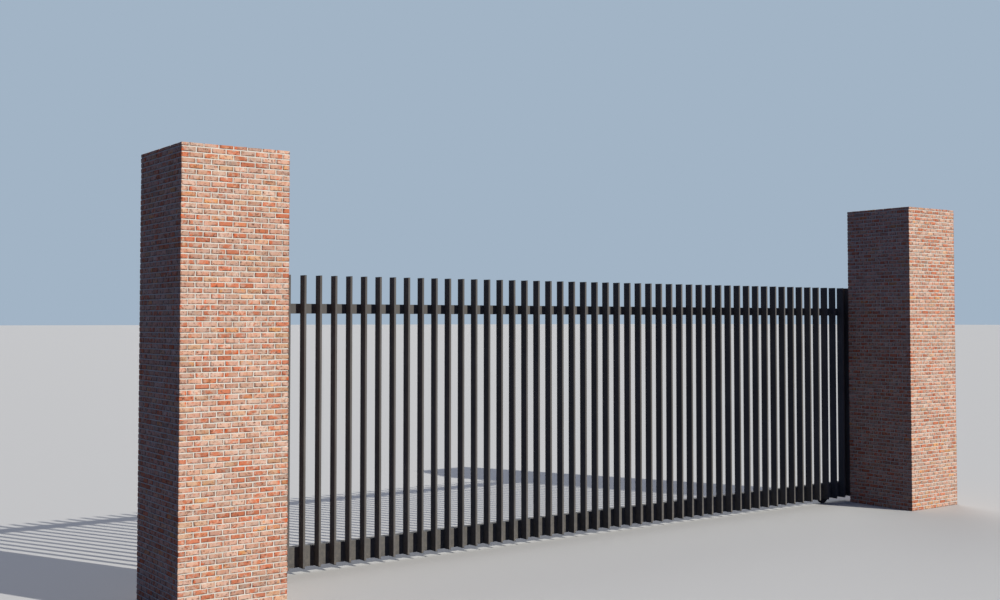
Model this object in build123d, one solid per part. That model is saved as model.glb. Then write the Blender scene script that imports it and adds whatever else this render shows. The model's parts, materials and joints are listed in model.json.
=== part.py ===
from build123d import *
import os

# Sliding batten gate between two square brick piers.
# Millimetres. +X runs along the gate to the closing pier, +Y runs into the property, +Z is up.
# The origin is the centre of the left pier's foot, on the ground.

# Brick piers
PIER_WIDTH = 615
PIER_DEPTH = 615
PIER_HEIGHT = 2460
OPENING = 5495

# Place of the leaf: it runs behind both piers, just above the driveway
PIER_GAP = 18
GROUND_GAP = 40
LEAF_HEIGHT = 1770
LEFT_OVERLAP = 325
RIGHT_OVERLAP = 70

# Battens, box extrusions set edge on to the street
BATTEN_WIDTH = 14
BATTEN_DEPTH = 60
BATTEN_WALL = 1.6
BATTEN_PITCH = 105
BATTENS_PER_PANEL = 6
CAP_THICKNESS = 2.5
CAP_SPIGOT = 12
CAP_CLEARANCE = 0.3

# Frame behind the battens
RAIL_DEPTH = 50
RAIL_WALL = 3
TOP_RAIL_HEIGHT = 60
TOP_RAIL_DROP = 173
BOTTOM_RAIL_HEIGHT = 124
STILE_WIDTH = 50
STILE_WALL = 2.5
END_PLATE = 3

# Grooved wheels in the bottom rail
WHEEL_DIAMETER = 110
WHEEL_WIDTH = 30
WHEEL_FLOOR_GAP = 1
WHEEL_INSET = 300
WHEEL_SIDE_CLEARANCE = 0.5
GROOVE_RADIUS = 9
GROOVE_SINK = 2
HUB_DIAMETER = 28
AXLE_DIAMETER = 12
AXLE_CLEARANCE = 0.3
AXLE_HEAD_WIDTH = 19
AXLE_HEAD_HEIGHT = 7.5
SLOT_CLEARANCE = 6

# Top guide: a bar stood off the back of the top rail, and two rollers on a post
GUIDE_BAR_THICKNESS = 5
GUIDE_BAR_HEIGHT = 48
GUIDE_BAR_DROP = 4
SPACER_HEIGHT = 12
SPACER_LENGTH = 40
SPACER_PITCH = 520
GUIDE_STOP_LENGTH = 20
ROLLER_DIAMETER = 34
ROLLER_HEIGHT = 27
ROLLER_CHAMFER = 1.5
ROLLER_SIDE_CLEARANCE = 1
ROLLER_PIN = 12
ROLLER_SHOULDER = 20
ROLLER_SPACING = 160
ROLLER_INSET = 52
RUNNING_CLEARANCE = 5
SEAT_CLEARANCE = 0.3
POST_SIDE = 60
POST_WALL = 3
POST_CLEARANCE = 10
HEAD_PLATE = 8
HEAD_PLATE_LENGTH = 220
BASE_PLATE = 8
BASE_PLATE_LENGTH = 190
BASE_PLATE_DEPTH = 142
PLATE_CORNER_RADIUS = 8
BASE_HOLE_SPACING_X = 140
BASE_HOLE_SPACING_Y = 100
BASE_HOLE_RADIUS = 6.5
GUSSET_LEG = 50
GUSSET_THICKNESS = 6

# Catch on the back of the right pier
CATCH_PLATE = 6
CATCH_HEIGHT = 160
CATCH_BOTTOM = 900
CATCH_FLANGE = 90
CATCH_REACH = 18
CATCH_LIP = 10
CATCH_LIP_FLARE = 6
CATCH_HOLE_SPACING = 100
CATCH_HOLE_RADIUS = 5.5
BUFFER_THICKNESS = 12
BUFFER_WIDTH = 36
BUFFER_HEIGHT = 60
BUFFER_GAP = 0.3

# Planes that several pieces share
PIER_FACE = PIER_WIDTH / 2
PIER_BACK = PIER_DEPTH / 2
RIGHT_PIER_X = PIER_WIDTH + OPENING
BATTEN_FRONT = PIER_BACK + PIER_GAP
RAIL_FRONT = BATTEN_FRONT + BATTEN_DEPTH
RAIL_BACK = RAIL_FRONT + RAIL_DEPTH
RAIL_MIDDLE = RAIL_FRONT + RAIL_DEPTH / 2

# Length of the leaf: as many whole pitches as reach over both overlaps
LEAF_SPAN = LEFT_OVERLAP + OPENING + RIGHT_OVERLAP
BATTEN_COUNT = round((LEAF_SPAN - BATTEN_WIDTH) / BATTEN_PITCH) + 1
LEAF_LENGTH = (BATTEN_COUNT - 1) * BATTEN_PITCH + BATTEN_WIDTH
LEAF_RIGHT = PIER_FACE + OPENING + RIGHT_OVERLAP
LEAF_LEFT = LEAF_RIGHT - LEAF_LENGTH

# Sides of the stiles that the rails run up to
RAIL_END_LEFT = LEAF_LEFT + STILE_WIDTH
RAIL_END_RIGHT = LEAF_RIGHT - STILE_WIDTH

# Heights of the leaf
BATTEN_BOTTOM = GROUND_GAP
BATTEN_TOP = GROUND_GAP + LEAF_HEIGHT
EXTRUSION_BOTTOM = BATTEN_BOTTOM + CAP_THICKNESS
EXTRUSION_TOP = BATTEN_TOP - CAP_THICKNESS
BOTTOM_RAIL_Z = BATTEN_BOTTOM
BOTTOM_RAIL_TOP = BOTTOM_RAIL_Z + BOTTOM_RAIL_HEIGHT
TOP_RAIL_TOP = BATTEN_TOP - TOP_RAIL_DROP
TOP_RAIL_Z = TOP_RAIL_TOP - TOP_RAIL_HEIGHT

# Wheels
WHEEL_RADIUS = WHEEL_DIAMETER / 2
WHEEL_Z = WHEEL_FLOOR_GAP + WHEEL_RADIUS
WHEEL_XS = (LEAF_LEFT + WHEEL_INSET, LEAF_RIGHT - WHEEL_INSET)

# Guide
GUIDE_SLOT = ROLLER_DIAMETER + 2 * ROLLER_SIDE_CLEARANCE
GUIDE_BAR_FRONT = RAIL_BACK + GUIDE_SLOT
GUIDE_BAR_BACK = GUIDE_BAR_FRONT + GUIDE_BAR_THICKNESS
GUIDE_BAR_TOP = TOP_RAIL_TOP - GUIDE_BAR_DROP
GUIDE_BAR_Z = GUIDE_BAR_TOP - GUIDE_BAR_HEIGHT
SPACER_Z = GUIDE_BAR_TOP - SPACER_HEIGHT
ROLLER_TOP = SPACER_Z - RUNNING_CLEARANCE
ROLLER_Z = ROLLER_TOP - ROLLER_HEIGHT
ROLLER_Y = RAIL_BACK + GUIDE_SLOT / 2
HEAD_PLATE_TOP = GUIDE_BAR_Z - POST_CLEARANCE
POST_TOP = HEAD_PLATE_TOP - HEAD_PLATE
POST_FRONT = GUIDE_BAR_BACK + POST_CLEARANCE
POST_Y = POST_FRONT + POST_SIDE / 2
LAST_ROLLER_X = PIER_FACE - ROLLER_INSET
POST_X = LAST_ROLLER_X - ROLLER_SPACING / 2
ROLLER_XS = (LAST_ROLLER_X - ROLLER_SPACING, LAST_ROLLER_X)


def block(x, y, z):
    """Box between two limits on each axis."""
    size = (x[1] - x[0], y[1] - y[0], z[1] - z[0])
    middle = ((x[0] + x[1]) / 2, (y[0] + y[1]) / 2, (z[0] + z[1]) / 2)
    return Pos(*middle) * Box(*size)


def tube_along_x(x, y, z, wall):
    """Rectangular tube, open at both ends, running along X."""
    outside = block(x, y, z)
    inside = block(x, (y[0] + wall, y[1] - wall), (z[0] + wall, z[1] - wall))
    return outside - inside


def tube_along_z(x, y, z, wall):
    """Rectangular tube, open at both ends, standing upright."""
    outside = block(x, y, z)
    inside = block((x[0] + wall, x[1] - wall), (y[0] + wall, y[1] - wall), z)
    return outside - inside


def upright_cylinder(x, y, z, radius):
    """Cylinder with a vertical axis between two heights."""
    height = z[1] - z[0]
    return Pos(x, y, z[0] + height / 2) * Cylinder(radius, height)


def round_cornered_plate(x, y, z):
    """Flat plate with its four upright edges rounded."""
    plate = block(x, y, z)
    return fillet(plate.edges().filter_by(Axis.Z), PLATE_CORNER_RADIUS)


def pier(x):
    """One square brick pier, solid masonry from the ground to its flat top."""
    return block((x - PIER_WIDTH / 2, x + PIER_WIDTH / 2), (-PIER_BACK, PIER_BACK), (0, PIER_HEIGHT))


def batten_x(index):
    """Left side of a batten, counted from the leaf's left end."""
    return LEAF_LEFT + index * BATTEN_PITCH


def batten(index):
    """One box extrusion, between its two caps."""
    left = batten_x(index)
    return tube_along_z(
        (left, left + BATTEN_WIDTH),
        (BATTEN_FRONT, RAIL_FRONT),
        (EXTRUSION_BOTTOM, EXTRUSION_TOP),
        BATTEN_WALL,
    )


def push_in_cap(x, y, wall, outer, inward):
    """Cap of an upright extrusion: a plate over its end and a spigot inside it.

    outer is the cap's outer height, and inward is +1 where the spigot points up, or -1.
    """
    edge = wall + CAP_CLEARANCE
    seat = outer + inward * CAP_THICKNESS
    tip = seat + inward * CAP_SPIGOT
    plate = block(x, y, sorted((outer, seat)))
    spigot = block(
        (x[0] + edge, x[1] - edge),
        (y[0] + edge, y[1] - edge),
        sorted((outer, tip)),
    )
    return plate + spigot


def end_caps(outer, inward):
    """Caps of every batten and of both stiles, at one end of them."""
    caps = []
    for index in range(BATTEN_COUNT):
        x = (batten_x(index), batten_x(index) + BATTEN_WIDTH)
        caps.append(push_in_cap(x, (BATTEN_FRONT, RAIL_FRONT), BATTEN_WALL, outer, inward))
    for left in (LEAF_LEFT, RAIL_END_RIGHT):
        x = (left, left + STILE_WIDTH)
        caps.append(push_in_cap(x, (RAIL_FRONT, RAIL_BACK), STILE_WALL, outer, inward))
    return Compound(children=caps)


def top_rail():
    """Top rail behind the battens, open ended under its end plates."""
    return tube_along_x(
        (RAIL_END_LEFT + END_PLATE, RAIL_END_RIGHT - END_PLATE),
        (RAIL_FRONT, RAIL_BACK),
        (TOP_RAIL_Z, TOP_RAIL_TOP),
        RAIL_WALL,
    )


def bottom_rail():
    """Bottom rail with a slot under each wheel and a bore for each axle."""
    rail = tube_along_x(
        (RAIL_END_LEFT + END_PLATE, RAIL_END_RIGHT - END_PLATE),
        (RAIL_FRONT, RAIL_BACK),
        (BOTTOM_RAIL_Z, BOTTOM_RAIL_TOP),
        RAIL_WALL,
    )
    slot_half_length = WHEEL_RADIUS + SLOT_CLEARANCE
    slot_half_width = RAIL_DEPTH / 2 - RAIL_WALL
    for x in WHEEL_XS:
        rail -= block(
            (x - slot_half_length, x + slot_half_length),
            (RAIL_MIDDLE - slot_half_width, RAIL_MIDDLE + slot_half_width),
            (BOTTOM_RAIL_Z, BOTTOM_RAIL_Z + RAIL_WALL),
        )
        bore = Cylinder(AXLE_DIAMETER / 2 + AXLE_CLEARANCE, RAIL_DEPTH, rotation=(90, 0, 0))
        rail -= Pos(x, RAIL_MIDDLE, WHEEL_Z) * bore
    return rail


def stile(left):
    """Upright at one end of the leaf, as tall as the battens and between its own two caps."""
    return tube_along_z(
        (left, left + STILE_WIDTH),
        (RAIL_FRONT, RAIL_BACK),
        (EXTRUSION_BOTTOM, EXTRUSION_TOP),
        STILE_WALL,
    )


def rail_end_plates():
    """Plates that close both ends of both rails and fasten them to the stiles."""
    plates = []
    for x in ((RAIL_END_LEFT, RAIL_END_LEFT + END_PLATE), (RAIL_END_RIGHT - END_PLATE, RAIL_END_RIGHT)):
        for z in ((BOTTOM_RAIL_Z, BOTTOM_RAIL_TOP), (TOP_RAIL_Z, TOP_RAIL_TOP)):
            plates.append(block(x, (RAIL_FRONT, RAIL_BACK), z))
    return Compound(children=plates)


def wheel(x):
    """Grooved wheel with a long hub, turned about its axle."""
    half_rim = WHEEL_WIDTH / 2
    half_hub = RAIL_DEPTH / 2 - RAIL_WALL - WHEEL_SIDE_CLEARANCE
    disc = Cylinder(WHEEL_RADIUS, WHEEL_WIDTH) + Cylinder(HUB_DIAMETER / 2, 2 * half_hub)
    disc = chamfer(disc.edges().filter_by(GeomType.CIRCLE).group_by(lambda e: e.radius)[-1], half_rim / 10)
    disc -= Torus(WHEEL_RADIUS + GROOVE_SINK, GROOVE_RADIUS)
    disc -= Cylinder(AXLE_DIAMETER / 2 + AXLE_CLEARANCE, 2 * half_hub)
    return Pos(x, RAIL_MIDDLE, WHEEL_Z) * Rot(90, 0, 0) * disc


def axle(x):
    """Wheel axle with a hexagon head on the back of the rail, flush with the rail's front."""
    length = RAIL_DEPTH
    shaft = Cylinder(AXLE_DIAMETER / 2, length, rotation=(90, 0, 0))
    head = extrude(RegularPolygon(AXLE_HEAD_WIDTH / 2, 6, major_radius=False), AXLE_HEAD_HEIGHT)
    head = Pos(0, length / 2, 0) * Rot(-90, 0, 0) * head
    return Pos(x, RAIL_MIDDLE, WHEEL_Z) * (shaft + head)


def guide_bar():
    """Flat bar that forms the outer side of the roller slot."""
    return block(
        (LEAF_LEFT, LEAF_RIGHT),
        (GUIDE_BAR_FRONT, GUIDE_BAR_BACK),
        (GUIDE_BAR_Z, GUIDE_BAR_TOP),
    )


def guide_spacers():
    """Blocks over the rollers that hold the guide bar off the top rail."""
    blocks = []
    first = LEAF_LEFT + GUIDE_STOP_LENGTH + SPACER_PITCH / 2
    last = LEAF_RIGHT - GUIDE_STOP_LENGTH - SPACER_PITCH / 2
    count = round((last - first) / SPACER_PITCH) + 1
    step = (last - first) / (count - 1)
    for index in range(count):
        middle = first + index * step
        blocks.append(block(
            (middle - SPACER_LENGTH / 2, middle + SPACER_LENGTH / 2),
            (RAIL_BACK, GUIDE_BAR_FRONT),
            (SPACER_Z, GUIDE_BAR_TOP),
        ))
    return Compound(children=blocks)


def guide_stops():
    """Full-height blocks at both ends of the roller slot, the last guard against over-travel."""
    blocks = []
    for left in (LEAF_LEFT, LEAF_RIGHT - GUIDE_STOP_LENGTH):
        blocks.append(block(
            (left, left + GUIDE_STOP_LENGTH),
            (RAIL_BACK, GUIDE_BAR_FRONT),
            (GUIDE_BAR_Z, GUIDE_BAR_TOP),
        ))
    return Compound(children=blocks)


def gusset(side):
    """Triangular rib between the post and its base plate. side is +1 for the right one, or -1."""
    foot = POST_X + side * POST_SIDE / 2
    outline = make_face(Polyline(
        (foot, BASE_PLATE),
        (foot + side * GUSSET_LEG, BASE_PLATE),
        (foot, BASE_PLATE + GUSSET_LEG),
        close=True,
    ))
    return Pos(0, POST_Y, 0) * Rot(90, 0, 0) * extrude(outline, GUSSET_THICKNESS / 2, both=True)


def guide_post():
    """Welded post behind the left pier: base plate, ribs, tube, head plate and two roller pins."""
    post = tube_along_z(
        (POST_X - POST_SIDE / 2, POST_X + POST_SIDE / 2),
        (POST_FRONT, POST_FRONT + POST_SIDE),
        (BASE_PLATE, POST_TOP),
        POST_WALL,
    )
    post += round_cornered_plate(
        (POST_X - BASE_PLATE_LENGTH / 2, POST_X + BASE_PLATE_LENGTH / 2),
        (POST_Y - BASE_PLATE_DEPTH / 2, POST_Y + BASE_PLATE_DEPTH / 2),
        (0, BASE_PLATE),
    )
    post += gusset(-1)
    post += gusset(1)
    for side_x in (-1, 1):
        for side_y in (-1, 1):
            post -= upright_cylinder(
                POST_X + side_x * BASE_HOLE_SPACING_X / 2,
                POST_Y + side_y * BASE_HOLE_SPACING_Y / 2,
                (0, BASE_PLATE),
                BASE_HOLE_RADIUS,
            )
    post += round_cornered_plate(
        (POST_X - HEAD_PLATE_LENGTH / 2, POST_X + HEAD_PLATE_LENGTH / 2),
        (RAIL_BACK + RUNNING_CLEARANCE, POST_FRONT + POST_SIDE),
        (POST_TOP, HEAD_PLATE_TOP),
    )
    for x in ROLLER_XS:
        shoulder = (HEAD_PLATE_TOP, ROLLER_Z - SEAT_CLEARANCE)
        post += upright_cylinder(x, ROLLER_Y, shoulder, ROLLER_SHOULDER / 2)
        post += upright_cylinder(x, ROLLER_Y, (HEAD_PLATE_TOP, ROLLER_TOP), ROLLER_PIN / 2)
    return post


def guide_roller(x):
    """Plain nylon roller with chamfered rims on its upright pin."""
    roller = upright_cylinder(x, ROLLER_Y, (ROLLER_Z, ROLLER_TOP), ROLLER_DIAMETER / 2)
    roller = chamfer(roller.edges().filter_by(GeomType.CIRCLE), ROLLER_CHAMFER)
    return roller - upright_cylinder(x, ROLLER_Y, (ROLLER_Z, ROLLER_TOP), ROLLER_PIN / 2 + AXLE_CLEARANCE)


def closing_catch():
    """Bent plate on the right pier's back: a flange, a web across the leaf's end and a flared jaw behind it."""
    web_left = LEAF_RIGHT + BUFFER_GAP + BUFFER_THICKNESS
    web_right = web_left + CATCH_PLATE
    jaw_front = RAIL_BACK + RUNNING_CLEARANCE
    z = (CATCH_BOTTOM, CATCH_BOTTOM + CATCH_HEIGHT)
    catch = block((web_left, web_right), (PIER_BACK, jaw_front + CATCH_PLATE), z)
    catch += block((web_left, web_left + CATCH_FLANGE), (PIER_BACK, PIER_BACK + CATCH_PLATE), z)
    jaw_left = LEAF_RIGHT - CATCH_REACH
    catch += block((jaw_left, web_right), (jaw_front, jaw_front + CATCH_PLATE), z)
    lip = Polyline(
        (jaw_left, jaw_front),
        (jaw_left, jaw_front + CATCH_PLATE),
        (jaw_left - CATCH_LIP, jaw_front + CATCH_LIP_FLARE + CATCH_PLATE),
        (jaw_left - CATCH_LIP, jaw_front + CATCH_LIP_FLARE),
        close=True,
    )
    catch += Pos(0, 0, CATCH_BOTTOM) * extrude(make_face(lip), CATCH_HEIGHT)
    hole_x = (web_right + web_left + CATCH_FLANGE) / 2
    for side in (-1, 1):
        hole = Cylinder(CATCH_HOLE_RADIUS, CATCH_PLATE, rotation=(90, 0, 0))
        hole_z = CATCH_BOTTOM + CATCH_HEIGHT / 2 + side * CATCH_HOLE_SPACING / 2
        catch -= Pos(hole_x, PIER_BACK + CATCH_PLATE / 2, hole_z) * hole
    return catch


def closing_buffer():
    """Rubber pad on the catch, where the right stile stops."""
    middle_z = CATCH_BOTTOM + CATCH_HEIGHT / 2
    return block(
        (LEAF_RIGHT + BUFFER_GAP, LEAF_RIGHT + BUFFER_GAP + BUFFER_THICKNESS),
        (RAIL_MIDDLE - BUFFER_WIDTH / 2, RAIL_MIDDLE + BUFFER_WIDTH / 2),
        (middle_z - BUFFER_HEIGHT / 2, middle_z + BUFFER_HEIGHT / 2),
    )


def batten_panels():
    """Battens in neighbouring groups, one named piece for each group."""
    panels = {}
    for first in range(0, BATTEN_COUNT, BATTENS_PER_PANEL):
        members = range(first, min(first + BATTENS_PER_PANEL, BATTEN_COUNT))
        name = f"battens_{first // BATTENS_PER_PANEL + 1:02d}"
        panels[name] = Compound(children=[batten(index) for index in members])
    return panels


def gate():
    """Every piece of the gate by name, with the leaf closed."""
    pieces = {
        "left_pier": pier(0),
        "right_pier": pier(RIGHT_PIER_X),
        "guide_post": guide_post(),
        "guide_roller_left": guide_roller(ROLLER_XS[0]),
        "guide_roller_right": guide_roller(ROLLER_XS[1]),
        "closing_catch": closing_catch(),
        "closing_buffer": closing_buffer(),
        "bottom_rail": bottom_rail(),
        "top_rail": top_rail(),
        "left_stile": stile(LEAF_LEFT),
        "right_stile": stile(RAIL_END_RIGHT),
        "rail_end_plates": rail_end_plates(),
        "guide_bar": guide_bar(),
        "guide_spacers": guide_spacers(),
        "guide_stops": guide_stops(),
        "left_wheel": wheel(WHEEL_XS[0]),
        "right_wheel": wheel(WHEEL_XS[1]),
        "left_axle": axle(WHEEL_XS[0]),
        "right_axle": axle(WHEEL_XS[1]),
        "batten_top_caps": end_caps(BATTEN_TOP, -1),
        "batten_bottom_caps": end_caps(BATTEN_BOTTOM, 1),
    }
    pieces.update(batten_panels())
    return pieces


os.makedirs("parts", exist_ok=True)
for name, piece in gate().items():
    export_step(piece, f"parts/{name}.step")
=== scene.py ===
import bpy
import json
import math
import random
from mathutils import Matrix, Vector


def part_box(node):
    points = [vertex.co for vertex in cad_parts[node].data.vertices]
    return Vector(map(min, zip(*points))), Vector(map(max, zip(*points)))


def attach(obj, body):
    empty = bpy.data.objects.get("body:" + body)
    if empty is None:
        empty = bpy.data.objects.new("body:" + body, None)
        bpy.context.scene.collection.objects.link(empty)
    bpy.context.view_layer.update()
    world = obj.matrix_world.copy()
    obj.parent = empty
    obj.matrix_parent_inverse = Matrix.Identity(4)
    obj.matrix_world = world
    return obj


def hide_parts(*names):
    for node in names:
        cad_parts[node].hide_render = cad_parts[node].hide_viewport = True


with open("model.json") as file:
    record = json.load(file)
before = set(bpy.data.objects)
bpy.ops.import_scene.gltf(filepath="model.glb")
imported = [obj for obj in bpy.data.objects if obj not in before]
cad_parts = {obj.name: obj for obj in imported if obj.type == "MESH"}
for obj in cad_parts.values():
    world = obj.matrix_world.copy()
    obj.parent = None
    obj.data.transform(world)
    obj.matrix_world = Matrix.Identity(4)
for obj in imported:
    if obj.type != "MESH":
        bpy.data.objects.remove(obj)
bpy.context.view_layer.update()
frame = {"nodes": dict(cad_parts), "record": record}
nodes = frame["nodes"]
record = frame["record"]

# Brickwork of the piers, in metres
BRICK_LENGTH = 0.076
BRICK_WIDTH = 0.041
JOINT = 0.0042
COURSES = 84
TOP_COURSE = 0.0205
MORTAR_RECESS = 0.003
BRICK_CHAMFER = 0.0012

# Unevenness of the hand-made bricks, in metres
CORNER_JITTER = 0.0016
FACE_JITTER = 0.0008
JOINT_SHIFT = 0.0025
BRICK_SEED = 41

# Values at each point of a brick, for its material: three random ones of the whole brick, then
# the place along and up its face, from -1 to 1, and half the length of that face in metres
BRICK_VALUES = ("tone", "shade", "shift", "run", "rise", "half")

# Factors that make four more random values of a brick out of its tone
FLASH_DRAW = 17.0
HOT_DRAW = 29.0
END_DRAW = 31.0
GOLD_DRAW = 53.0

# How far the pattern of a brick moves at the most, in metres along each axis
PATTERN_SHIFT = 9.0

# Small radii on sharp edges, in metres, and the angle in degrees from which an edge is sharp
EXTRUSION_RADIUS = 0.0008
PLATE_RADIUS = 0.0007
CAP_RADIUS = 0.0005
SHARP_ANGLE = 40
WELD_DISTANCE = 0.00001

# Battens, and how far their screws sit from the lower and upper edges of the rails, in metres
BATTEN_WIDTH = 0.014
BATTEN_PITCH = 0.105
BOTTOM_RAIL_INSET = 0.030
TOP_RAIL_INSET = 0.014

# Guide post's base plate, and the catch's bent plate with its two holes, in metres
BASE_PLATE_THICKNESS = 0.008
CATCH_THICKNESS = 0.006
CATCH_FLANGE = 0.090
CATCH_HOLE_SPACING = 0.100

# Turned and hexagonal hardware: rings from the seat outwards, with shape, radius and height in metres
RING_SIDES = 24
SCREW_HEAD = (
    ("round", 0.0042, 0.0),
    ("round", 0.0036, 0.0004),
    ("hex", 0.0019, 0.0004),
    ("hex", 0.0017, -0.0015),
)
ANCHOR = (
    ("round", 0.012, 0.0),
    ("round", 0.012, 0.0025),
    ("hex", 0.0088, 0.0025),
    ("hex", 0.0088, 0.0120),
    ("round", 0.0086, 0.0130),
    ("round", 0.0058, 0.0130),
    ("round", 0.0058, 0.0220),
    ("round", 0.0048, 0.0230),
)
CATCH_BOLT = (
    ("round", 0.010, 0.0),
    ("round", 0.010, 0.002),
    ("hex", 0.0082, 0.002),
    ("hex", 0.0082, 0.0075),
    ("round", 0.0080, 0.0084),
    ("round", 0.0050, 0.0084),
)

# Camera solved from the photograph: pixels of a 1000 x 600 frame, metres and degrees
IMAGE_WIDTH = 1000
IMAGE_HEIGHT = 600
FOCAL_PIXELS = 1205.8
CENTRE_X = 501.1
CENTRE_Y = 277.7
SENSOR_WIDTH = 36.0
CAMERA_PLACE = (-2.5839, -6.3095, 1.534)
CAMERA_YAW = 35.6835
CAMERA_PITCH = 2.0366

# Sunlight from the front right, and a soft light from behind: strength, angle in degrees, direction
SUN_STRENGTH = 3.7
SUN_ANGLE = 0.53
SUN_TRAVEL = (-0.768, 1.6, -1.0)
BACK_STRENGTH = 1.3
BACK_ANGLE = 50.0
BACK_TRAVEL = (-0.55, -1.0, -0.75)

# Strength of the light from the sky, and how far the floor reaches to each side, in metres
SKY_STRENGTH = 0.165
FLOOR_REACH = 400


def srgb(red, green, blue):
    """Linear colour from screen values of 0 to 255."""
    def linear(value):
        share = value / 255
        return share / 12.92 if share <= 0.04045 else ((share + 0.055) / 1.055) ** 2.4
    return (linear(red), linear(green), linear(blue), 1.0)


def scaled(colour, factor):
    """A colour made lighter or darker by a factor."""
    return tuple(channel * factor for channel in colour[:3]) + (1.0,)


# Clay of the bricks: each colour is for the tones from its number up to the next one
CLAY_TONES = (
    (0.00, srgb(212, 174, 156)),
    (0.36, srgb(217, 166, 141)),
    (0.58, srgb(206, 153, 132)),
    (0.74, srgb(223, 194, 175)),
    (0.88, srgb(219, 174, 136)),
    (0.96, srgb(169, 146, 133)),
)
PALE_CLAY = srgb(227, 194, 173)
MOTTLE = srgb(208, 153, 119)
RED_FLASH = srgb(207, 112, 72)
GOLDEN_FLASH = srgb(232, 165, 100)
HOT_END = srgb(226, 102, 46)
# Painted shade along the lower edges and ends of the bricks
ARRIS_PAINTED_SHADE = srgb(98, 52, 38)
DARK_MARK = srgb(104, 64, 52)
LIME = srgb(226, 208, 190)

# Mortar
DULL_MORTAR = srgb(219, 215, 204)
CLEAN_MORTAR = srgb(235, 231, 221)
SAND = srgb(150, 138, 122)

# Metal, plastic and rubber
CHARCOAL = srgb(96, 94, 92)
STEEL_COAT = srgb(66, 66, 67)
CAP_BLACK = srgb(48, 48, 50)
ZINC = srgb(172, 175, 178)
NYLON = srgb(52, 52, 54)
RUBBER = srgb(38, 38, 38)
DUST = srgb(150, 142, 130)

# Floor and backdrop as they are seen, and the light that they and the sun give
FLOOR_SEEN = srgb(206, 206, 203)
FLOOR_LIGHT = srgb(62, 65, 76)
BACKDROP_SEEN = srgb(162, 180, 198)
SKY_LIGHT = (0.30, 0.45, 1.0, 1.0)
SUNLIGHT = (1.0, 0.96, 0.89)
WHITE_LIGHT = (1.0, 1.0, 1.0)

# Numbers of the colour sockets on a Mix node
MIX_FIRST = 6
MIX_SECOND = 7
MIX_RESULT = 2


class Shader:
    """A new material with its Principled shader, and short calls that add nodes to it."""

    def __init__(self, name):
        self.material = bpy.data.materials.new(name)
        self.material.use_nodes = True
        self.tree = self.material.node_tree
        self.principled = self.tree.nodes["Principled BSDF"]
        self.place = self.add("ShaderNodeTexCoord").outputs["Object"]

    def add(self, kind, **settings):
        """A new node with its settings."""
        node = self.tree.nodes.new(kind)
        for key, value in settings.items():
            setattr(node, key, value)
        return node

    def feed(self, socket, value):
        """Links another node's output to a socket, or sets the socket to a value."""
        if isinstance(value, bpy.types.NodeSocket):
            self.tree.links.new(value, socket)
        else:
            socket.default_value = value

    def set(self, name, value):
        """Feeds a socket of the Principled shader."""
        self.feed(self.principled.inputs[name], value)

    def noise(self, scale, detail, roughness=0.5, place=None):
        """Noise about 1 / scale metres in size."""
        node = self.add("ShaderNodeTexNoise")
        node.inputs["Scale"].default_value = scale
        node.inputs["Detail"].default_value = detail
        node.inputs["Roughness"].default_value = roughness
        self.feed(node.inputs["Vector"], place or self.place)
        return node.outputs["Fac"]

    def remap(self, value, low, high, to_low=0.0, to_high=1.0):
        """Maps low to high onto another range, and holds its ends beyond them."""
        node = self.add("ShaderNodeMapRange")
        node.inputs["From Min"].default_value = low
        node.inputs["From Max"].default_value = high
        node.inputs["To Min"].default_value = to_low
        node.inputs["To Max"].default_value = to_high
        self.feed(node.inputs["Value"], value)
        return node.outputs["Result"]

    def patches(self, scale, detail, start, full, amount=1.0, roughness=0.5, place=None):
        """Patches of noise: 0 where it is under start, and amount where it is over full."""
        return self.remap(self.noise(scale, detail, roughness, place), start, full, 0.0, amount)

    def calculate(self, operation, *values):
        """One operation on values or outputs."""
        node = self.add("ShaderNodeMath", operation=operation)
        for socket, value in zip(node.inputs, values):
            self.feed(socket, value)
        return node.outputs["Value"]

    def mix(self, factor, first, second, blend="MIX"):
        """Blend of two colours."""
        node = self.add("ShaderNodeMix", data_type="RGBA", blend_type=blend)
        self.feed(node.inputs["Factor"], factor)
        self.feed(node.inputs[MIX_FIRST], first)
        self.feed(node.inputs[MIX_SECOND], second)
        return node.outputs[MIX_RESULT]

    def steps(self, value, stops):
        """Colour that stays the same from one stop to the next."""
        node = self.add("ShaderNodeValToRGB")
        node.color_ramp.interpolation = "CONSTANT"
        elements = node.color_ramp.elements
        while len(elements) < len(stops):
            elements.new(0.5)
        for element, (position, colour) in zip(elements, stops):
            element.position = position
            element.color = colour
        self.feed(node.inputs["Fac"], value)
        return node.outputs["Color"]

    def attribute(self, name):
        """A value that the mesh holds at its points."""
        return self.add("ShaderNodeAttribute", attribute_name=name).outputs["Fac"]

    def bump(self, height, distance, strength, under=None):
        """Relief of a height, over another relief where one is given."""
        node = self.add("ShaderNodeBump")
        node.inputs["Distance"].default_value = distance
        node.inputs["Strength"].default_value = strength
        self.feed(node.inputs["Height"], height)
        if under is not None:
            self.feed(node.inputs["Normal"], under)
        return node.outputs["Normal"]

    def height_above_ground(self):
        """Height of a point over the ground, in metres."""
        node = self.add("ShaderNodeSeparateXYZ")
        self.feed(node.inputs["Vector"], self.place)
        return node.outputs["Z"]

    def place_moved_by(self, distance):
        """The place, moved along the diagonal of all three axes."""
        node = self.add("ShaderNodeVectorMath", operation="ADD")
        self.feed(node.inputs[0], self.place)
        self.feed(node.inputs[1], distance)
        return node.outputs["Vector"]


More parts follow.
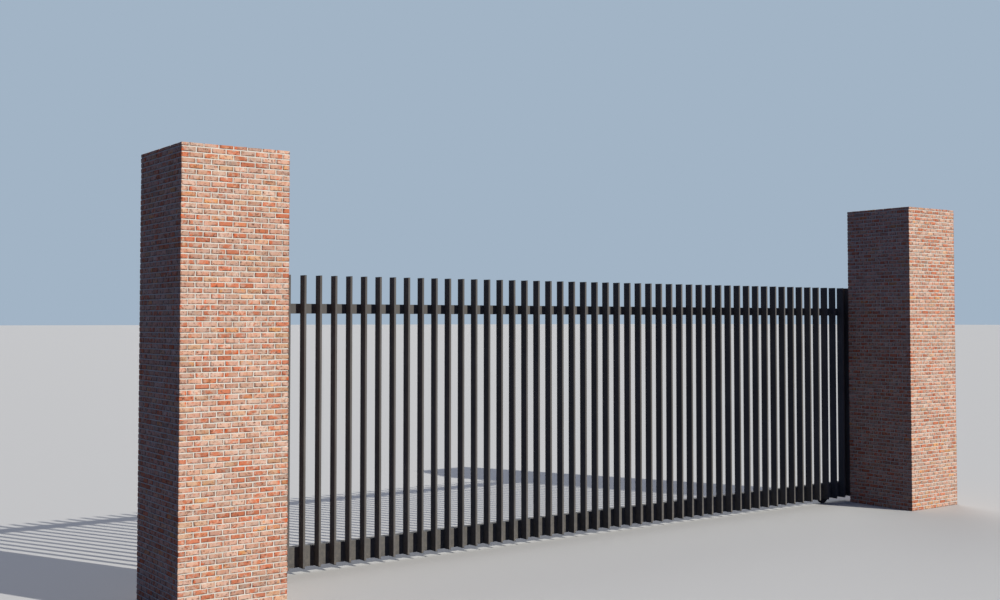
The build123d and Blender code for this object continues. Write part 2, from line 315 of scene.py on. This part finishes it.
def powder_coat(name, colour):
    """Smooth, nearly matt powder coat: fine orange peel, faint tone drift, dust near the ground."""
    shader = Shader(name)
    drift = shader.patches(scale=2.5, detail=3.0, start=0.35, full=0.65)
    tone = shader.mix(drift, colour, scaled(colour, 1.25))
    near_ground = shader.remap(shader.height_above_ground(), 0.0, 0.32, to_low=0.5, to_high=0.0)
    specks = shader.patches(scale=38.0, detail=6.0, roughness=0.7, start=0.42, full=0.72)
    tone = shader.mix(shader.calculate("MULTIPLY", near_ground, specks), tone, DUST)
    shader.set("Base Color", tone)
    shader.set("Roughness", shader.remap(shader.noise(14.0, 5.0), 0.3, 0.7, to_low=0.60, to_high=0.74))
    shader.set("Normal", shader.bump(shader.noise(850.0, 2.0), distance=0.0001, strength=0.35))
    shader.set("Specular IOR Level", 0.06)
    return shader.material


def plain_finish(name, colour, roughness, metallic=0.0):
    """Small hardware: one colour with a fine grain in tone, sheen and surface."""
    shader = Shader(name)
    drift = shader.noise(60.0, 4.0)
    shader.set("Base Color", shader.mix(drift, scaled(colour, 0.8), colour))
    shader.set("Roughness", shader.remap(drift, 0.3, 0.7, roughness - 0.06, roughness + 0.08))
    shader.set("Metallic", metallic)
    shader.set("Normal", shader.bump(shader.noise(600.0, 3.0), distance=0.0002, strength=0.4))
    return shader.material


def mortar_material():
    """Pale brushed mortar with sand grains."""
    shader = Shader("mortar")
    clean = shader.patches(scale=9.0, detail=5.0, start=0.35, full=0.65)
    colour = shader.mix(clean, DULL_MORTAR, CLEAN_MORTAR)
    grains = shader.patches(scale=700.0, detail=2.0, start=0.62, full=0.75, amount=0.5)
    shader.set("Base Color", shader.mix(grains, colour, SAND))
    shader.set("Roughness", 0.95)
    shader.set("Specular IOR Level", 0.2)
    shader.set("Normal", shader.bump(shader.noise(420.0, 5.0, 0.7), distance=0.0012, strength=0.8))
    return shader.material


def drawn(shader, factor):
    """One more random value of a brick, from 0 to 1."""
    return shader.calculate("FRACT", shader.calculate("MULTIPLY", shader.attribute("tone"), factor))


def clay(shader, place):
    """Tone of each brick, with a drift to pale clay and brown mottles."""
    colour = shader.steps(shader.attribute("tone"), CLAY_TONES)
    drift = shader.patches(scale=16.0, detail=3.0, start=0.3, full=0.7, amount=0.6, place=place)
    colour = shader.mix(drift, colour, PALE_CLAY)
    mottle = shader.patches(
        scale=44.0, detail=4.0, roughness=0.6, start=0.42, full=0.62, amount=0.6, place=place,
    )
    return shader.mix(mottle, colour, MOTTLE)


def with_fire_flashes(shader, place, colour):
    """Red flashes, from traces on most bricks to nearly all of a few, and golden on a few."""
    spread = shader.calculate("POWER", drawn(shader, FLASH_DRAW), 2.2)
    edge = shader.remap(spread, 0.0, 1.0, to_low=0.60, to_high=0.36)
    over = shader.calculate("SUBTRACT", shader.noise(30.0, 5.0, 0.6, place), edge)
    flash = shader.remap(over, 0.0, 0.10, to_low=0.0, to_high=0.8)
    golden = shader.remap(drawn(shader, GOLD_DRAW), 0.87, 0.95)
    return shader.mix(flash, colour, shader.mix(golden, RED_FLASH, GOLDEN_FLASH))


def with_hot_ends(shader, place, colour):
    """Orange-red patches at one end of some bricks."""
    side = shader.remap(drawn(shader, END_DRAW), 0.49, 0.51, to_low=-1.0, to_high=1.0)
    towards_end = shader.calculate("MULTIPLY", shader.attribute("run"), side)
    at_end = shader.remap(towards_end, 0.30, 0.75)
    on_some = shader.remap(drawn(shader, HOT_DRAW), 0.80, 0.84)
    patch = shader.patches(
        scale=52.0, detail=4.0, roughness=0.6, start=0.44, full=0.56, amount=0.85, place=place,
    )
    hot = shader.calculate("MULTIPLY", shader.calculate("MULTIPLY", at_end, on_some), patch)
    return shader.mix(hot, colour, HOT_END)


def with_painted_arris_shade(shader, place, colour):
    """Painted shade near the arrises, most of all along the lower edge, broken by noise."""
    lower = shader.remap(shader.attribute("rise"), -0.96, -0.52, to_low=1.0, to_high=0.0)
    from_middle = shader.calculate("ABSOLUTE", shader.attribute("run"))
    share_from_end = shader.calculate("SUBTRACT", 1.0, from_middle)
    from_end = shader.calculate("MULTIPLY", share_from_end, shader.attribute("half"))
    ends = shader.remap(from_end, 0.001, 0.009, to_low=0.7, to_high=0.0)
    painted_shade_band = shader.calculate("MAXIMUM", lower, ends)
    broken = shader.patches(scale=40.0, detail=4.0, roughness=0.65, start=0.42, full=0.56, place=place)
    return shader.mix(shader.calculate("MULTIPLY", painted_shade_band, broken), colour, ARRIS_PAINTED_SHADE)


def with_marks_and_lime(shader, place, colour):
    """Small dark marks, and a little lime from the mortar."""
    marks = shader.patches(
        scale=58.0, detail=6.0, roughness=0.7, start=0.53, full=0.66, amount=0.85, place=place,
    )
    colour = shader.mix(marks, colour, DARK_MARK)
    lime = shader.patches(
        scale=110.0, detail=4.0, roughness=0.7, start=0.60, full=0.75, amount=0.5, place=place,
    )
    return shader.mix(lime, colour, LIME)


def brick_material():
    """Hand-made facing bricks: pink to orange clay with fire flashes, painted shade at the arrises and
    sandy grain.
    """
    shader = Shader("brick")
    shift = shader.calculate("MULTIPLY", shader.attribute("shift"), PATTERN_SHIFT)
    place = shader.place_moved_by(shift)
    colour = clay(shader, place)
    colour = with_fire_flashes(shader, place, colour)
    colour = with_hot_ends(shader, place, colour)
    brightness = shader.remap(shader.attribute("shade"), 0.0, 1.0, to_low=0.88, to_high=1.20)
    colour = shader.mix(1.0, colour, brightness, blend="MULTIPLY")
    # Painted shade along the lower edge and the ends of each brick
    colour = with_painted_arris_shade(shader, place, colour)
    colour = with_marks_and_lime(shader, place, colour)
    shader.set("Base Color", colour)
    shader.set("Roughness", 0.9)
    shader.set("Specular IOR Level", 0.25)
    grain = shader.bump(shader.noise(900.0, 3.0, place=place), distance=0.0004, strength=0.6)
    pits = shader.noise(120.0, 6.0, 0.65, place)
    shader.set("Normal", shader.bump(pits, distance=0.0016, strength=0.7, under=grain))
    return shader.material


def direct_view(tree):
    """1 where the floor or backdrop is seen, also in gloss or glass, and 0 where it only lights."""
    path = tree.nodes.new("ShaderNodeLightPath")
    seen = path.outputs["Is Camera Ray"]
    for kind in ("Is Glossy Ray", "Is Transmission Ray"):
        either = tree.nodes.new("ShaderNodeMath")
        either.operation = "MAXIMUM"
        tree.links.new(seen, either.inputs[0])
        tree.links.new(path.outputs[kind], either.inputs[1])
        seen = either.outputs["Value"]
    return seen


def floor_material():
    """Plain pale floor."""
    shader = Shader("pale_floor")
    shader.set("Base Color", shader.mix(direct_view(shader.tree), FLOOR_LIGHT, FLOOR_SEEN))
    shader.set("Roughness", 0.9)
    shader.set("Specular IOR Level", 0.1)
    return shader.material


def finish_with(name, material):
    """Gives a node of the model its one finish."""
    slots = nodes[name].data.materials
    slots.clear()
    slots.append(material)


def soften_edges(name, width, segments):
    """Rounds the sharp edges of a node's look with modifiers. Its mesh stays as it is."""
    piece = nodes[name]
    weld = piece.modifiers.new("join", "WELD")
    weld.merge_threshold = WELD_DISTANCE
    bevel = piece.modifiers.new("edges", "BEVEL")
    bevel.width = width
    bevel.segments = segments
    bevel.limit_method = "ANGLE"
    bevel.angle_limit = math.radians(SHARP_ANGLE)
    bevel.harden_normals = True
    bevel.use_clamp_overlap = True


def mesh_piece(name, points, faces, material):
    """New object of points and faces, with one material."""
    mesh = bpy.data.meshes.new(name)
    mesh.from_pydata(points, [], faces)
    mesh.materials.append(material)
    piece = bpy.data.objects.new(name, mesh)
    bpy.context.scene.collection.objects.link(piece)
    return piece


def across(axis):
    """The two axes across an axis, as numbers."""
    return [other for other in range(3) if other != axis]


def corner_bit(axis):
    """What the high side of an axis adds to a corner's number, in X, then Y, then Z order."""
    return 4 >> axis


def corner_signs(corner):
    """-1 or 1 on each axis, for the low or high side that a corner is on."""
    return [1 if corner & corner_bit(axis) else -1 for axis in range(3)]


def box_corners(low, high):
    """Eight corners of a box, in X, then Y, then Z order."""
    return [
        Vector((x, y, z))
        for x in (low[0], high[0])
        for y in (low[1], high[1])
        for z in (low[2], high[2])
    ]


def chamfered_points(corners, chamfer):
    """Three points for each corner of a block: point corner * 3 + axis is in the side across the axis."""
    points = []
    for corner, place in enumerate(corners):
        signs = corner_signs(corner)
        for axis in range(3):
            point = place.copy()
            for other in across(axis):
                point[other] -= signs[other] * chamfer
            points.append(point)
    return points


def turned_outwards(loop, points):
    """A loop of points about the origin, turned so that its face looks away from there."""
    first, second, third = (points[index] for index in loop[:3])
    normal = (second - first).cross(third - first)
    return loop[::-1] if normal.dot(first) < 0 else loop


def chamfered_loops():
    """Six sides, twelve edges and eight corners of a chamfered block."""
    sides = []
    edges = []
    for axis in range(3):
        first, second = across(axis)
        first_bit = corner_bit(first)
        second_bit = corner_bit(second)
        for start in (0, corner_bit(axis)):
            ring = (start, start + first_bit, start + first_bit + second_bit, start + second_bit)
            sides.append([corner * 3 + axis for corner in ring])
        for corner in (0, second_bit, first_bit, first_bit + second_bit):
            low = corner * 3
            high = (corner + corner_bit(axis)) * 3
            edges.append([low + first, high + first, high + second, low + second])
    tips = [[corner * 3 + axis for axis in range(3)] for corner in range(8)]
    points = chamfered_points(box_corners((-1, -1, -1), (1, 1, 1)), 0.1)
    return [turned_outwards(loop, points) for loop in sides + edges + tips]


BLOCK_LOOPS = chamfered_loops()


class Masonry:
    """Collects the blocks of one joined object."""

    def __init__(self):
        self.points = []
        self.faces = []
        self.values = []

    def add_block(self, corners, values=(0.0, 0.0, 0.0)):
        """Closed block with chamfered edges, from its eight corners."""
        base = len(self.points)
        half = (corners[7] - corners[0]) / 2
        self.points += chamfered_points(corners, BRICK_CHAMFER)
        self.faces += [[base + index for index in loop] for loop in BLOCK_LOOPS]
        for corner in range(8):
            signs = corner_signs(corner)
            for axis in range(3):
                run, rise = across(axis)
                self.values.append(values + (signs[run], signs[rise], half[run]))

    def add_brick(self, low, high, rng):
        """Block with uneven corners, each a little inside the box, and three random values."""
        corners = box_corners(low, high)
        middle = (low + high) / 2
        for corner in corners:
            for axis in range(3):
                inside = 1 if middle[axis] > corner[axis] else -1
                corner[axis] += inside * CORNER_JITTER * rng.random()
        self.add_block(corners, (rng.random(), rng.random(), rng.random()))

    def build(self, name, material):
        """The joined object, with its values for the material."""
        piece = mesh_piece(name, self.points, self.faces, material)
        for column, label in enumerate(BRICK_VALUES):
            layer = piece.data.attributes.new(label, "FLOAT", "POINT")
            layer.data.foreach_set("value", [row[column] for row in self.values])
        return piece


def pier_faces(low, high):
    """Each face of a pier: its left corner, the directions along it and inwards, and its length."""
    width = high.x - low.x
    depth = high.y - low.y
    return (
        (Vector((low.x, low.y, 0)), Vector((1, 0, 0)), Vector((0, 1, 0)), width),
        (Vector((high.x, low.y, 0)), Vector((0, 1, 0)), Vector((-1, 0, 0)), depth),
        (Vector((high.x, high.y, 0)), Vector((-1, 0, 0)), Vector((0, -1, 0)), width),
        (Vector((low.x, high.y, 0)), Vector((0, -1, 0)), Vector((1, 0, 0)), depth),
    )


def upright_joints(length, row, rng):
    """Middles of a course's upright joints in one face, with its two ends."""
    count = round((length - BRICK_WIDTH) / (BRICK_LENGTH + JOINT))
    step = (length - BRICK_WIDTH) / count
    offset = 0.0 if row % 2 == 0 else BRICK_WIDTH
    joints = [offset + index * step for index in range(count + 1)]
    for index in range(1, count):
        joints[index] += rng.uniform(-JOINT_SHIFT, JOINT_SHIFT)
    return joints


def lay_course(masonry, faces, row, bottom, top, rng):
    """A ring of stretchers, from the left corner of each face or, every other course, to its right."""
    for origin, along, inward, length in faces:
        joints = upright_joints(length, row, rng)
        last = len(joints) - 2
        for index, (start, end) in enumerate(zip(joints, joints[1:])):
            at_left_corner = row % 2 == 0 and index == 0
            at_right_corner = row % 2 == 1 and index == last
            left = start + (0.0 if at_left_corner else JOINT / 2)
            right = end - (0.0 if at_right_corner else JOINT / 2)
            front = origin + along * left + inward * (FACE_JITTER * rng.random())
            back = origin + along * right + inward * BRICK_WIDTH
            low = Vector((min(front.x, back.x), min(front.y, back.y), bottom))
            high = Vector((max(front.x, back.x), max(front.y, back.y), top))
            masonry.add_brick(low, high, rng)


def fill_top(masonry, low, high, rng):
    """Rows of bricks inside the top course's ring, with half bricks at the ends of every other row."""
    inner = BRICK_WIDTH + JOINT
    bottom = high.z - TOP_COURSE + JOINT / 2
    top = high.z - FACE_JITTER
    row_depth = high.y - low.y - 2 * inner + JOINT
    row_length = high.x - low.x - 2 * inner + JOINT
    rows = round(row_depth / (BRICK_WIDTH + JOINT))
    row_step = row_depth / rows
    count = round(row_length / (BRICK_LENGTH + JOINT))
    step = row_length / count
    for row in range(rows):
        front = low.y + inner + row * row_step
        back = front + row_step - JOINT
        starts = [index * step for index in range(count)]
        if row % 2 == 0:
            starts = [0.0] + [start + step / 2 for start in starts]
        for start, following in zip(starts, starts[1:] + [row_length]):
            left = low.x + inner + start
            right = low.x + inner + following - JOINT
            masonry.add_brick(Vector((left, front, bottom)), Vector((right, back, top)), rng)


def pier_bricks(name, low, high, rng):
    """Every brick of a pier: courses that turn the corners, and a filled top course."""
    masonry = Masonry()
    course = (high.z - low.z - TOP_COURSE) / (COURSES - 1)
    for row in range(COURSES):
        bottom = low.z + row * course + (JOINT / 2 if row > 0 else 0.0)
        top = low.z + (row + 1) * course - JOINT / 2 if row < COURSES - 1 else high.z
        lay_course(masonry, pier_faces(low, high), row, bottom, top, rng)
    fill_top(masonry, low, high, rng)
    return masonry.build(name, brick_finish)


def pier_mortar(name, low, high):
    """Mortar body of a pier, set back from the brick faces and from the top."""
    masonry = Masonry()
    front_left = low + Vector((MORTAR_RECESS, MORTAR_RECESS, 0))
    back_right = high - Vector((MORTAR_RECESS, MORTAR_RECESS, MORTAR_RECESS))
    masonry.add_block(box_corners(front_left, back_right))
    return masonry.build(name, mortar_finish)


def ring_points(place, axis, shape, radius, height):
    """Points of one ring of a fastener. The radius of a hexagon is half its width across the flats."""
    side = axis.orthogonal().normalized()
    beside = axis.cross(side)
    points = []
    for step in range(RING_SIDES):
        angle = 2 * math.pi * step / RING_SIDES
        reach = radius
        if shape == "hex":
            reach = radius / math.cos(angle % (math.pi / 3) - math.pi / 6)
        offset = side * (reach * math.cos(angle)) + beside * (reach * math.sin(angle))
        points.append(Vector(place) + (offset + axis * height))
    return points


def fasteners(name, places, axis, profile, material):
    """The same fastener at every place, as one joined object. The profile lists its rings."""
    points = []
    faces = []
    for place in places:
        base = len(points)
        for shape, radius, height in profile:
            points += ring_points(place, axis, shape, radius, height)
        for ring in range(len(profile) - 1):
            low = base + ring * RING_SIDES
            high = low + RING_SIDES
            for step in range(RING_SIDES):
                following = (step + 1) % RING_SIDES
                faces.append([low + step, low + following, high + following, high + step])
        last = base + (len(profile) - 1) * RING_SIDES
        faces.append(list(range(base, base + RING_SIDES))[::-1])
        faces.append(list(range(last, last + RING_SIDES)))
    return mesh_piece(name, points, faces, material)


def batten_screws():
    """Flush screws that hold each batten, seen on the backs of the rails."""
    bottom_low, bottom_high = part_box("bottom_rail")
    top_low, top_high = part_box("top_rail")
    caps_low, caps_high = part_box("batten_top_caps")
    rows = (
        (bottom_high.y, bottom_low.z + BOTTOM_RAIL_INSET),
        (bottom_high.y, bottom_high.z - BOTTOM_RAIL_INSET),
        (top_high.y, top_low.z + TOP_RAIL_INSET),
        (top_high.y, top_high.z - TOP_RAIL_INSET),
    )
    first = caps_low.x + BATTEN_WIDTH / 2
    count = round((caps_high.x - caps_low.x - BATTEN_WIDTH) / BATTEN_PITCH) + 1
    places = [(first + index * BATTEN_PITCH, y, z) for index in range(count) for y, z in rows]
    screws = fasteners("batten_screws", places, Vector((0, 1, 0)), SCREW_HEAD, zinc)
    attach(screws, "leaf")


def post_anchors():
    """Washer, nut and stud end on each hole of the guide post's base plate."""
    mount = next(mount for mount in record["mounts"] if mount["name"] == "guide_post_bolts")
    x, y = mount["pos_m"][:2]
    half_x = mount["dims"]["spacing_x_mm"] / 1000 / 2
    half_y = mount["dims"]["spacing_y_mm"] / 1000 / 2
    holes = [(x + side * half_x, y + other * half_y) for side in (-1, 1) for other in (-1, 1)]
    places = [(hole_x, hole_y, BASE_PLATE_THICKNESS) for hole_x, hole_y in holes]
    anchors = fasteners("guide_post_anchors", places, Vector((0, 0, 1)), ANCHOR, zinc)
    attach(anchors, "piers")


def catch_bolts():
    """Bolts of the closing catch, with their washers."""
    low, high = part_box("closing_catch")
    x = high.x - (CATCH_FLANGE - CATCH_THICKNESS) / 2
    middle = (low.z + high.z) / 2
    seat = low.y + CATCH_THICKNESS
    places = [(x, seat, middle + side * CATCH_HOLE_SPACING / 2) for side in (-1, 1)]
    bolts = fasteners("catch_bolts", places, Vector((0, 1, 0)), CATCH_BOLT, zinc)
    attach(bolts, "piers")


def add_floor():
    """Wide level floor that takes the gate's shadow."""
    reach = FLOOR_REACH
    corners = [(-reach, -reach, 0), (reach, -reach, 0), (reach, reach, 0), (-reach, reach, 0)]
    floor = mesh_piece("floor", corners, [(0, 1, 2, 3)], floor_material())


def add_sun(name, strength, angle, travel, colour):
    """Lamp like the sun, whose light travels along a direction."""
    lamp_data = bpy.data.lights.new(name, "SUN")
    lamp_data.energy = strength
    lamp_data.angle = math.radians(angle)
    lamp_data.color = colour
    lamp = bpy.data.objects.new(name, lamp_data)
    lamp.rotation_euler = Vector(travel).to_track_quat("-Z", "Y").to_euler()
    bpy.context.scene.collection.objects.link(lamp)


def background(tree, colour, strength):
    """One background shader of the world."""
    node = tree.nodes.new("ShaderNodeBackground")
    node.inputs["Color"].default_value = colour
    node.inputs["Strength"].default_value = strength
    return node.outputs["Background"]


def add_world():
    """Pale backdrop for what is seen, and a faint blue sky for the light."""
    world = bpy.data.worlds.new("studio")
    bpy.context.scene.world = world
    world.use_nodes = True
    tree = world.node_tree
    tree.nodes.clear()
    choose = tree.nodes.new("ShaderNodeMixShader")
    output = tree.nodes.new("ShaderNodeOutputWorld")
    tree.links.new(direct_view(tree), choose.inputs["Fac"])
    tree.links.new(background(tree, SKY_LIGHT, SKY_STRENGTH), choose.inputs[1])
    tree.links.new(background(tree, BACKDROP_SEEN, 1.0), choose.inputs[2])
    tree.links.new(choose.outputs["Shader"], output.inputs["Surface"])


def add_camera():
    """The photograph's camera."""
    camera_data = bpy.data.cameras.new("camera")
    camera_data.sensor_fit = "HORIZONTAL"
    camera_data.sensor_width = SENSOR_WIDTH
    camera_data.lens = SENSOR_WIDTH * FOCAL_PIXELS / IMAGE_WIDTH
    camera_data.shift_x = (IMAGE_WIDTH / 2 - CENTRE_X) / IMAGE_WIDTH
    camera_data.shift_y = (CENTRE_Y - IMAGE_HEIGHT / 2) / IMAGE_WIDTH
    camera_data.clip_end = 3 * FLOOR_REACH
    camera = bpy.data.objects.new("camera", camera_data)
    camera.location = CAMERA_PLACE
    camera.rotation_euler = (math.radians(90 + CAMERA_PITCH), 0, math.radians(-CAMERA_YAW))
    bpy.context.scene.collection.objects.link(camera)
    bpy.context.scene.camera = camera


# Finishes of the record's material slots, and of the mortar
charcoal = powder_coat("charcoal_powder_coat", CHARCOAL)
steel_coat = powder_coat("steel_powder_coat", STEEL_COAT)
cap_plastic = plain_finish("cap_plastic", CAP_BLACK, roughness=0.5)
zinc = plain_finish("zinc_steel", ZINC, roughness=0.34, metallic=0.9)
nylon = plain_finish("nylon", NYLON, roughness=0.42)
rubber = plain_finish("buffer_rubber", RUBBER, roughness=0.75)
brick_finish = brick_material()
mortar_finish = mortar_material()
finish_of_slot = {
    "powder_coat": charcoal,
    "coated_steel": steel_coat,
    "cap_plastic": cap_plastic,
    "zinc_steel": zinc,
    "nylon": nylon,
    "buffer_rubber": rubber,
    "brickwork": brick_finish,
}
for part in record["subparts"]:
    finish_with(part["node"], finish_of_slot[part["material_slot"]])

# Small radii on the extrusions, plates and caps
for node in nodes:
    if node.startswith("battens_") or node in ("top_rail", "bottom_rail", "left_stile", "right_stile"):
        soften_edges(node, EXTRUSION_RADIUS, segments=2)
    elif node in ("closing_catch", "guide_post", "guide_bar", "closing_buffer"):
        soften_edges(node, PLATE_RADIUS, segments=2)
    elif node.startswith("batten_"):
        soften_edges(node, CAP_RADIUS, segments=1)

# Brickwork of both piers
rng = random.Random(BRICK_SEED)
for pier in ("left_pier", "right_pier"):
    low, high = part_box(pier)
    bricks = pier_bricks(pier + "_bricks", low, high, rng)
    mortar = pier_mortar(pier + "_mortar", low, high)
    for piece in (bricks, mortar):
        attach(piece, "piers")
        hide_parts(pier)

# Fasteners
batten_screws()
post_anchors()
catch_bolts()

# Studio
add_floor()
add_sun("sun", SUN_STRENGTH, SUN_ANGLE, SUN_TRAVEL, SUNLIGHT)
add_sun("back_light", BACK_STRENGTH, BACK_ANGLE, BACK_TRAVEL, WHITE_LIGHT)
add_world()
add_camera()
bpy.context.scene.view_settings.view_transform = "Standard"
